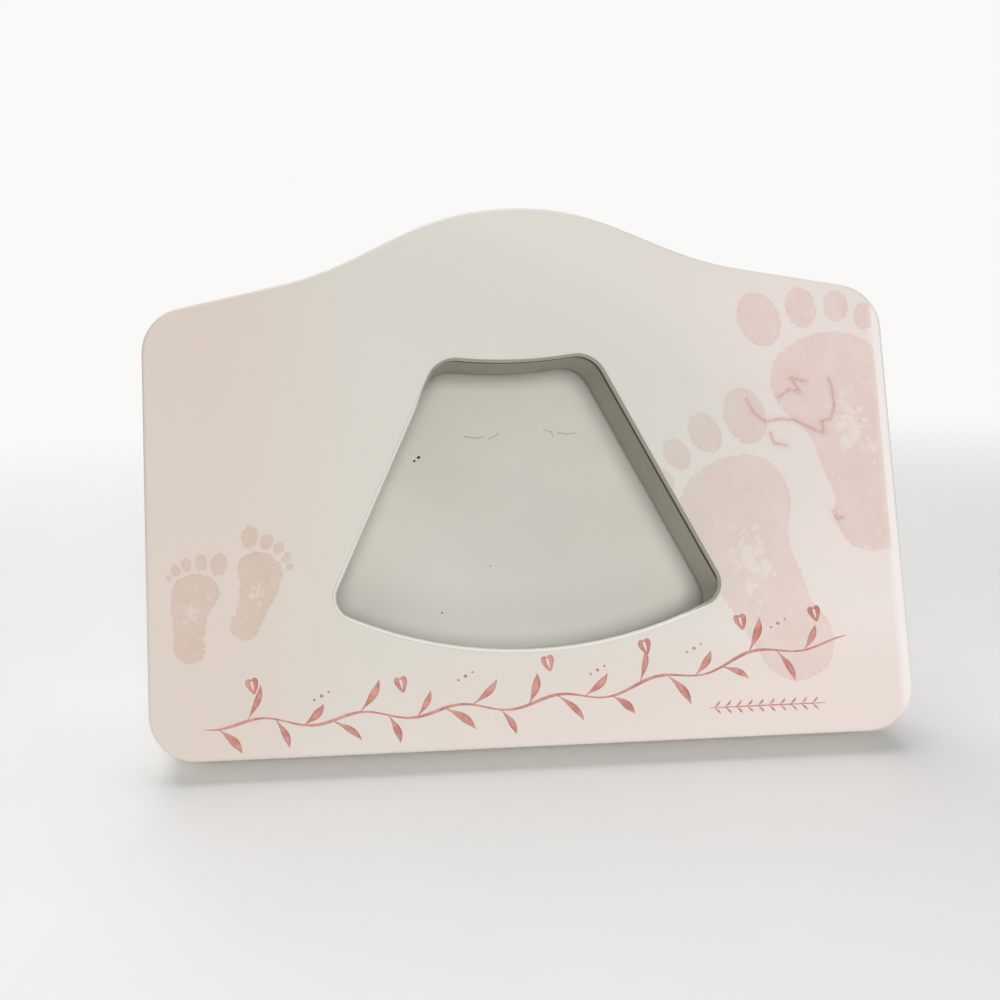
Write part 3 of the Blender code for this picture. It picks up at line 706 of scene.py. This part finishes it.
# Painted shade on the window walls: grey, darker towards the top, and cream on the lit lower left.
uneven_height = math_node(tree, "MULTIPLY_ADD", clouds, WALL_CLOUDS, height)
wall = mix_colours(tree, soft_mask(tree, uneven_height, *WALL_SPAN), WALL_TOP_PAINTED_SHADE, WALL_FOOT_PAINTED_SHADE)
lit_side = soft_mask(tree, up_and_right(tree, flat), *LIT_SIDE_SPAN)
wall = mix_colours(tree, lit_side, wall, CREAM_WARM)
inner = round_window(tree, flat)
outside = mix_colours(tree, clouds, CREAM, CREAM_WARM)
in_front = soft_mask(tree, behind, WALL_DEPTH + WALL_FADE, WALL_DEPTH)
colour = tint_where(tree, in_front, inner, outside, wall)
specks = noise(tree, place, scale=240.0, detail=5.0, roughness=0.7)
colour = tint_where(tree, soft_mask(tree, specks, *DUST_SPAN), DUST_SHARE, colour, DUST_BROWN)
# Glue line and painted shadow under the printed sheet: a dark brown band, deeper inside the window.
waves = math_node(tree, "MULTIPLY", clouds, SHADOW_LINE_WAVES)
shadow_line_depth = math_node(tree, "MULTIPLY_ADD", inner, SHADOW_LINE_DEEPER, waves)
glue_and_shadow_line = soft_mask(tree, math_node(tree, "SUBTRACT", behind, shadow_line_depth), *SHADOW_LINE_SPAN)
colour = mix_colours(tree, glue_and_shadow_line, colour, GLUE_AND_SHADOW_BROWN)
colour_and_gloss(tree, shader, colour, ramp(tree, skin, *NOISE_SPAN, *PAINT_ROUGHNESS))
add_bump(tree, shader, skin, distance=0.00006, strength=0.5)
moulded_body = smooth_copy("body_frame", "moulded_body", body_paint)
print("body faces:", len(moulded_body.data.polygons))

# %% [markdown]
# Behind the window lie a clear sheet and a grey-white card. Thin clear glazing hardly bends
# what is behind it, so it is a mix of a transparent shader and a glossy one, by the Fresnel
# share. The transparent part also lets the lamps through to the card.

# %% Clear glazing
GLASS_INDEX = 1.49
GLASS_TINT = (0.985, 0.99, 0.985, 1)
GLASS_SMEARS = (0.4, 0.7)
GLASS_ROUGHNESS = (0.02, 0.16)
PANE_EDGE = 0.0002

glazing = bpy.data.materials.new("clear_glazing")
glazing.use_nodes = True
tree = glazing.node_tree
tree.nodes.remove(tree.nodes["Principled BSDF"])
point = tree.nodes.new("ShaderNodeTexCoord").outputs["Object"]
through = tree.nodes.new("ShaderNodeBsdfTransparent")
through.inputs["Color"].default_value = GLASS_TINT
gloss = tree.nodes.new("ShaderNodeBsdfAnisotropic")
smear = noise(tree, point, scale=60.0, detail=4.0)
tree.links.new(ramp(tree, smear, *GLASS_SMEARS, *GLASS_ROUGHNESS), gloss.inputs["Roughness"])
fresnel = tree.nodes.new("ShaderNodeFresnel")
fresnel.inputs["IOR"].default_value = GLASS_INDEX
from_inside = tree.nodes.new("ShaderNodeNewGeometry").outputs["Backfacing"]
from_outside = math_node(tree, "SUBTRACT", 1.0, from_inside)
share = math_node(tree, "MULTIPLY", fresnel.outputs[0], from_outside)
blend = add_node(tree, "ShaderNodeMixShader", share, through.outputs[0], gloss.outputs[0])
tree.links.new(blend, tree.nodes["Material Output"].inputs["Surface"])
clear_pane = smooth_copy("glazing_sheet", "clear_pane", glazing, bevel=PANE_EDGE)
print("pane faces:", len(clear_pane.data.polygons))

# %% [markdown]
# The card is matt, with short paper fibres and a few dark specks. It is painted lighter towards
# the foot and the left, as painted light thrown back by the walls there. Two pairs of short
# hair-like creases lie high in the window. They are the scuff strokes again, in the card's own
# colours.

# %% Grey-white card
CARD = (0.80, 0.765, 0.70)
CARD_DARK = (0.735, 0.71, 0.65)
CARD_PAINTED_BOUNCE_LIGHT = (0.96, 0.93, 0.86)
FIBRE_GREY = (0.55, 0.53, 0.48)
CREASE_GREY = (0.40, 0.38, 0.33)
SPECK_DARK = (0.03, 0.028, 0.025)
SHADE_MIDDLE = (12.0, 92.0)
SHADE_REACH = (66.0, 66.0)
BOUNCE_LIGHT_SPAN = (-34.0, 6.0)
BOUNCE_LIGHT_SHARE = 0.8
FIBRE_SHARE = 0.10
HAIR_SPAN = (0.34, 0.06)
HAIR_SHARE = 0.60
SPECK_SPAN = (0.06, -0.10)
SPECK_HEIGHT = 0.8
SPECK_TURN = 30
CREASES = [
    [(-12.5, 85.6), (-9.5, 85.0), (-7.0, 85.3)],
    [(-5.5, 84.6), (-3.6, 85.4), (-2.6, 86.2)],
    [(11.0, 86.6), (13.0, 86.0), (13.4, 84.6)],
    [(14.8, 85.7), (17.6, 85.2), (20.4, 85.4)],
]
SPECKS = [(-26.3, 80.0, 0.55), (-27.6, 79.0, 0.42), (-21.6, 34.8, 0.30), (-7.0, 47.6, 0.22)]

card_paper, tree, shader, point = new_material("grey_white_card", roughness=0.75, specular=0.2)
flat, behind = face_point(tree, point)
fibres = noise(tree, flat, scale=2.2, detail=5.0, roughness=0.7)
colour = mix_colours(tree, noise(tree, flat, scale=0.06, detail=3.0), CARD_DARK, CARD)
# Painted light: the card is lighter towards the foot and the left, near the lit walls.
painted_bounce_light = soft_mask(tree, oval(tree, flat, SHADE_MIDDLE, SHADE_REACH, 0), *BOUNCE_LIGHT_SPAN)
colour = tint_where(tree, painted_bounce_light, BOUNCE_LIGHT_SHARE, colour, CARD_PAINTED_BOUNCE_LIGHT)
colour = tint_where(tree, fibres, FIBRE_SHARE, colour, FIBRE_GREY)
hair = soft_mask(tree, nearest_scuff(tree, flat, CREASES), *HAIR_SPAN)
colour = tint_where(tree, hair, HAIR_SHARE, colour, CREASE_GREY)
specks = []
for across, up, size in SPECKS:
    specks.append(oval(tree, flat, (across, up), (size, size * SPECK_HEIGHT), SPECK_TURN))
speck = soft_mask(tree, chain(tree, "MINIMUM", specks), *SPECK_SPAN)
colour = mix_colours(tree, speck, colour, SPECK_DARK)
colour_and_gloss(tree, shader, colour)
add_bump(tree, shader, fibres, distance=0.00002, strength=0.5)
window_card = smooth_copy("insert_card", "window_card", card_paper)
print("card faces:", len(window_card.data.polygons))

# %% [markdown]
# A sprig runs along the foot of the face in dusty rose, drawn with a brush. One kind of stroke
# is enough for stem, leaves, hearts and dots: a path with its own width at each point. The path
# is a curve with a round bevel. Made a mesh and pressed flat, it is a film of ink with soft
# edges, thick in the middle as wet ink dries.

# %% One brush stroke
INK_HEIGHT = 0.00005
MERGE_INK = 0.000001
STROKE_ROUNDNESS = 1
STROKE_FINENESS = 5
stroke_pieces = []


def brush_stroke(places, widths):
    """A stroke of ink through places on the face, in millimetres, with its full width at each."""
    bpy.ops.curve.primitive_nurbs_path_add()
    path = bpy.context.object
    spline = path.data.splines[0]
    spline.points.add(max(0, len(places) - len(spline.points)))
    path.data.bevel_depth = MILLIMETRE
    path.data.bevel_resolution = STROKE_ROUNDNESS
    path.data.resolution_u = STROKE_FINENESS
    path.data.use_fill_caps = True
    spline.use_endpoint_u = True
    for number, handle in enumerate(spline.points):
        step = min(number, len(places) - 1)
        across, up = places[step]
        handle.co = (across * MILLIMETRE, 0, up * MILLIMETRE, 1)
        handle.radius = widths[step] / 2
    bpy.ops.object.convert(target="MESH")
    piece = bpy.context.object
    flatten = INK_HEIGHT / (max(widths) / 2 * MILLIMETRE)
    bpy.ops.object.mode_set(mode="EDIT")
    bpy.ops.mesh.select_all(action="SELECT")
    bpy.ops.mesh.remove_doubles(threshold=MERGE_INK)
    bpy.ops.transform.resize(value=(1, flatten, 1), center_override=(0, 0, 0))
    bpy.ops.object.mode_set(mode="OBJECT")
    stroke_pieces.append(piece)


print("ink film stands", INK_HEIGHT, "m proud")

# %% [markdown]
# The sprig follows one rising sweep. Its stem waves gently about the sweep, leaves grow from it
# in turn above and below, and small hearts and dots fill the gaps. Everything is placed by the
# distance along the face, so a change to the sweep moves it all.

# %% The sweep and its stem
SWEEP = [
    (-88, 9.6),
    (-62, 9.6),
    (-34, 10.4),
    (-6, 11.4),
    (20, 13.6),
    (44, 18.0),
    (66, 22.6),
    (86, 24.4),
]
WAVE_HEIGHT = 1.3
WAVE_LENGTH = 26.0
STEM_START = -87.0
STEM_END = 84.0
STEM_POINTS = 96
TAPER_POINTS = 6
TAPER_START = 0.25
SWELL_STEP = 0.41
NEAR = 0.5
THIN_STEM = 0.50
THICKER_BY = 0.45


def sweep_height(across):
    """Height of the sweep at a place across the face, by a smooth curve through its points."""
    for number in range(len(SWEEP) - 1):
        (left, low), (right, high) = SWEEP[number], SWEEP[number + 1]
        if across <= right or number == len(SWEEP) - 2:
            before = SWEEP[max(number - 1, 0)]
            after = SWEEP[min(number + 2, len(SWEEP) - 1)]
            gap = right - left
            rise_in = (high - before[1]) / (right - before[0]) * gap
            rise_out = (after[1] - low) / (after[0] - left) * gap
            t = (across - left) / gap
            return (
                low * (2 * t**3 - 3 * t**2 + 1)
                + rise_in * (t**3 - 2 * t**2 + t)
                + high * (3 * t**2 - 2 * t**3)
                + rise_out * (t**3 - t**2)
            )


def stem_place(across):
    """A place on the stem, so far across the face."""
    wave = WAVE_HEIGHT * math.sin(2 * math.pi * across / WAVE_LENGTH)
    return across, sweep_height(across) + wave


def stem_direction(across):
    """Angle of the stem above the level at a place across the face."""
    before = stem_place(across - NEAR)
    after = stem_place(across + NEAR)
    return math.atan2(after[1] - before[1], after[0] - before[0])


stem = []
widths = []
for number in range(STEM_POINTS + 1):
    stem.append(stem_place(STEM_START + (STEM_END - STEM_START) * number / STEM_POINTS))
    swell = 0.5 + 0.5 * math.sin(number * SWELL_STEP)
    from_end = min(number, STEM_POINTS - number)
    taper = min(1.0, TAPER_START + from_end / TAPER_POINTS)
    widths.append((THIN_STEM + THICKER_BY * swell) * taper)
brush_stroke(stem, widths)
print("stem from", stem[0], "to", stem[-1])

# %% [markdown]
# A leaf is one dab of the brush: it starts as a hair, swells and ends in a point, with a slight
# bend. A heart is two dabs that meet at the foot.

# %% Leaves, hearts and dots
LEAF_SPINE = [(0.0, 0.0), (0.25, -0.02), (0.5, -0.06), (0.75, -0.04), (0.92, 0.02), (1.0, 0.06)]
LEAF_WIDTHS = [0.08, 0.14, 1.0, 0.9, 0.2, 0.05]
HEART_ARC = [(-0.55, 0.0), (-0.1, 0.26), (0.28, 0.34), (0.40, 0.20), (0.22, 0.06)]
HEART_WIDTHS = [0.12, 0.30, 0.46, 0.40, 0.2]
DOT_SPINE = [(-0.3, 0.0), (-0.1, 0.0), (0.1, 0.0), (0.3, 0.0)]
DOT_WIDTHS = [0.5, 1.0, 1.0, 0.5]
DOT_ANGLE = math.radians(60)
LEAF_LIFT = 50


def turned_place(base, angle, along, aside):
    """A place so far along a direction from base, and so far to its left."""
    return (
        base[0] + along * math.cos(angle) - aside * math.sin(angle),
        base[1] + along * math.sin(angle) + aside * math.cos(angle),
    )


def add_leaf(base, direction, side, length, width, lift=LEAF_LIFT):
    """A leaf from a place on a stem, above it for side 1 and below it for side -1."""
    angle = direction + side * math.radians(lift)
    places = [turned_place(base, angle, length * a, side * length * b) for a, b in LEAF_SPINE]
    brush_stroke(places, [share * width for share in LEAF_WIDTHS])


def add_heart(centre, size, tilt):
    """Two dabs that lean together into a small heart."""
    angle = math.radians(90 + tilt)
    for side in (-1, 1):
        places = [turned_place(centre, angle, size * a, side * size * b) for a, b in HEART_ARC]
        brush_stroke(places, [share * size for share in HEART_WIDTHS])


def add_dot(centre, size):
    """One short dab."""
    places = [turned_place(centre, DOT_ANGLE, size * a, size * b) for a, b in DOT_SPINE]
    brush_stroke(places, [share * size for share in DOT_WIDTHS])


print("points in a leaf and in half a heart:", len(LEAF_SPINE), len(HEART_ARC))

# %% [markdown]
# The leaves grow at even steps, with lengths and widths that vary a little. The hearts and the
# rows of three dots stand above the stem where two leaves leave room.

# %% Place them on the stem
LEAF_STEP = 7.4
LEAF_LENGTH = 8.6
LEAF_WIDTH = 2.9
LONGER_BY = 1.3
WIDER_BY = 0.4
LENGTH_STEP = 1.7
WIDTH_STEP = 2.3
FIRST_LEAF = 4
BARE_STEM = 6
HEARTS_AT = (-74, -35, 4, 30, 56, 76)
HEART_SIZE = 4.2
HEART_TILT = 12
HEART_ABOVE = 8.8
DOTS_AT = (-56, -18, 17, 43, 66)
DOT_ROW = ((-1.9, 1.0), (0.0, 1.3), (1.9, 0.9))
DOTS_ABOVE = 7.2
DOTS_RISE = 0.5

for number in range(int((STEM_END - STEM_START - BARE_STEM) / LEAF_STEP)):
    across = STEM_START + FIRST_LEAF + number * LEAF_STEP
    side = 1 if number % 2 else -1
    length = LEAF_LENGTH + LONGER_BY * math.sin(number * LENGTH_STEP)
    width = LEAF_WIDTH + WIDER_BY * math.cos(number * WIDTH_STEP)
    add_leaf(stem_place(across), stem_direction(across), side, length, width)
for across in HEARTS_AT:
    across, up = stem_place(across)
    add_heart((across, up + HEART_ABOVE), HEART_SIZE, HEART_TILT)
for across in DOTS_AT:
    across, up = stem_place(across)
    for offset, size in DOT_ROW:
        add_dot((across + offset, up + DOTS_ABOVE + DOTS_RISE * offset), size)
print("strokes:", len(stroke_pieces))

# %% [markdown]
# A second, much smaller sprig stands under the right end of the first. It has a straight stem
# with pairs of leaves, so it needs only the leaf helper and one more stroke.

# %% Small sprig
SMALL_START = 46.0
SMALL_END = 77.0
SMALL_HEIGHT = 8.2
SMALL_WIDTHS = [0.2, 0.35, 0.4, 0.4, 0.4, 0.35, 0.2]
SMALL_FIRST_LEAF = 1.2
SMALL_LEAF_STEP = 2.9
SMALL_LEAF_LENGTH = 2.5
SMALL_LEAF_WIDTH = 0.85
SMALL_LEAF_LIFT = 42

steps = len(SMALL_WIDTHS) - 1
small_length = SMALL_END - SMALL_START
small_stem = [(SMALL_START + small_length * i / steps, SMALL_HEIGHT) for i in range(steps + 1)]
brush_stroke(small_stem, SMALL_WIDTHS)
for number in range(int(small_length / SMALL_LEAF_STEP)):
    base = (SMALL_START + SMALL_FIRST_LEAF + number * SMALL_LEAF_STEP, SMALL_HEIGHT)
    for side in (-1, 1):
        add_leaf(base, 0.0, side, SMALL_LEAF_LENGTH, SMALL_LEAF_WIDTH, SMALL_LEAF_LIFT)
print("strokes:", len(stroke_pieces))

# %% [markdown]
# All strokes are joined into one film of ink, tilted with the face and set on its front. The
# ink is a dusty rose that is stronger where the brush was full, so its colour is mixed by noise.

# %% Rose ink on the face
ROSE = (0.58, 0.245, 0.205)
ROSE_PALE = (0.70, 0.36, 0.31)
FULL_SPAN = (0.38, 0.62)

bpy.ops.object.select_all(action="DESELECT")
for piece in stroke_pieces:
    piece.select_set(True)
bpy.context.view_layer.objects.active = stroke_pieces[0]
bpy.ops.object.join()
sprig = bpy.context.object
sprig.name = "printed_sprig"
sprig.matrix_world = to_world @ Matrix.Translation((0, -FACE_OUT, 0)) @ sprig.matrix_world
bpy.ops.object.transform_apply(location=True, rotation=True, scale=True)
rose_ink, tree, shader, point = new_material("rose_ink", roughness=0.5, specular=0.3)
flat, behind = face_point(tree, point)
fullness = noise(tree, flat, scale=0.35, detail=4.0, roughness=0.6)
colour = mix_colours(tree, soft_mask(tree, fullness, *FULL_SPAN), ROSE_PALE, ROSE)
colour_and_gloss(tree, shader, colour)
add_bump(tree, shader, noise(tree, flat, scale=4.0), distance=0.00001, strength=0.4)
sprig.data.materials.clear()
sprig.data.materials.append(rose_ink)
bpy.ops.object.shade_smooth()
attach(sprig, "panel")
print("sprig faces:", len(sprig.data.polygons))

# %% [markdown]
# Backing board and leg are hardboard: pressed wood fibre, brown and smooth on the outer side,
# with fine dark and light fibres that lie in all directions. Two stretched noises crossed at an
# angle give such fibres, and the same noises as a bump make the surface a little rough.

# %% Hardboard
HARDBOARD = (0.185, 0.105, 0.057)
HARDBOARD_LIGHT = (0.235, 0.145, 0.085)
HARDBOARD_DARK = (0.095, 0.052, 0.028)
FIBRE_SPAN = (0.50, 0.72)
PIT_SPAN = (0.40, 0.30)
PIT_SHARE = 0.8
PLAIN_SPAN = (0.4, 0.7)
BOARD_GLOSS_SPAN = (0.4, 0.8)
BOARD_ROUGHNESS = (0.42, 0.66)
FIBRE_LAYERS = [(20, (300.0, 300.0, 1900.0)), (110, (320.0, 320.0, 1700.0))]

hardboard, tree, shader, point = new_material("pressed_hardboard", roughness=0.55, specular=0.4)
place = panel_point(tree, point)
layers = []
for angle, scale in FIBRE_LAYERS:
    turned = stretched(tree, place, math.radians(angle), scale)
    layers.append(noise(tree, turned, scale=1.0, detail=4.0, roughness=0.6))
fibres = math_node(tree, "MAXIMUM", *layers)
colour = mix_colours(tree, soft_mask(tree, fibres, *FIBRE_SPAN), HARDBOARD, HARDBOARD_LIGHT)
pits = noise(tree, place, scale=1300.0, detail=3.0, roughness=0.7)
colour = tint_where(tree, soft_mask(tree, pits, *PIT_SPAN), PIT_SHARE, colour, HARDBOARD_DARK)
plain = soft_mask(tree, noise(tree, place, scale=30.0), *PLAIN_SPAN)
colour = mix_colours(tree, plain, colour, HARDBOARD)
roughness = ramp(tree, fibres, *BOARD_GLOSS_SPAN, *BOARD_ROUGHNESS)
colour_and_gloss(tree, shader, colour, roughness)
add_bump(tree, shader, fibres, distance=0.00008, strength=0.7)
smooth_copy("backing_board", "hardboard_back", hardboard)
smooth_copy("easel_leg", "hardboard_leg", hardboard)
print("hardboard nodes:", len(tree.nodes))

# %% [markdown]
# Hinge, rivets, screws and turn buttons are plated steel. Plating is bright but not a mirror:
# it has soft dull clouds and fine rubbed lines. The turn buttons have a duller plating.

# %% Plated steel
STEEL = (0.78, 0.77, 0.74)
STEEL_DULL = (0.62, 0.61, 0.59)
ZINC = (0.66, 0.66, 0.65)
ZINC_DULL = (0.50, 0.50, 0.50)
DULL_SPAN = (0.35, 0.68)
BRIGHT_ROUGHNESS = (0.18, 0.40)
DULL_ROUGHNESS = (0.30, 0.52)
RUB_ANGLE = 0.3
RUB_SCALE = (250.0, 250.0, 6000.0)
BRIGHT_NODES = ("hinge", "leg_rivet", "backing_rivet", "button_screw")


def plated_steel(name, colour, dull, low, high):
    """A plated metal with cloudy colour, rubbed lines and a roughness between low and high."""
    material, tree, shader, point = new_material(name, (low + high) / 2, metallic=1.0)
    place = panel_point(tree, point)
    clouds = noise(tree, place, scale=380.0, detail=4.0, roughness=0.6)
    lines = noise(tree, stretched(tree, place, RUB_ANGLE, RUB_SCALE), scale=1.0, detail=2.0)
    tone = mix_colours(tree, soft_mask(tree, clouds, *DULL_SPAN), colour, dull)
    wear = math_node(tree, "MULTIPLY_ADD", lines, 0.5, math_node(tree, "MULTIPLY", clouds, 0.5))
    colour_and_gloss(tree, shader, tone, ramp(tree, wear, *NOISE_SPAN, low, high))
    add_bump(tree, shader, lines, distance=0.00001, strength=0.3)
    return material


bright_steel = plated_steel("bright_plated_steel", STEEL, STEEL_DULL, *BRIGHT_ROUGHNESS)
dull_zinc = plated_steel("dull_zinc_plate", ZINC, ZINC_DULL, *DULL_ROUGHNESS)
bright_nodes = sorted(node for node in frame["nodes"] if node.startswith(BRIGHT_NODES))
dull_nodes = sorted(node for node in frame["nodes"] if node.startswith("turn_button"))
for node in bright_nodes:
    smooth_copy(node, "steel_" + node, bright_steel)
for node in dull_nodes:
    smooth_copy(node, "zinc_" + node, dull_zinc)
print("plated pieces:", len(bright_nodes) + len(dull_nodes))
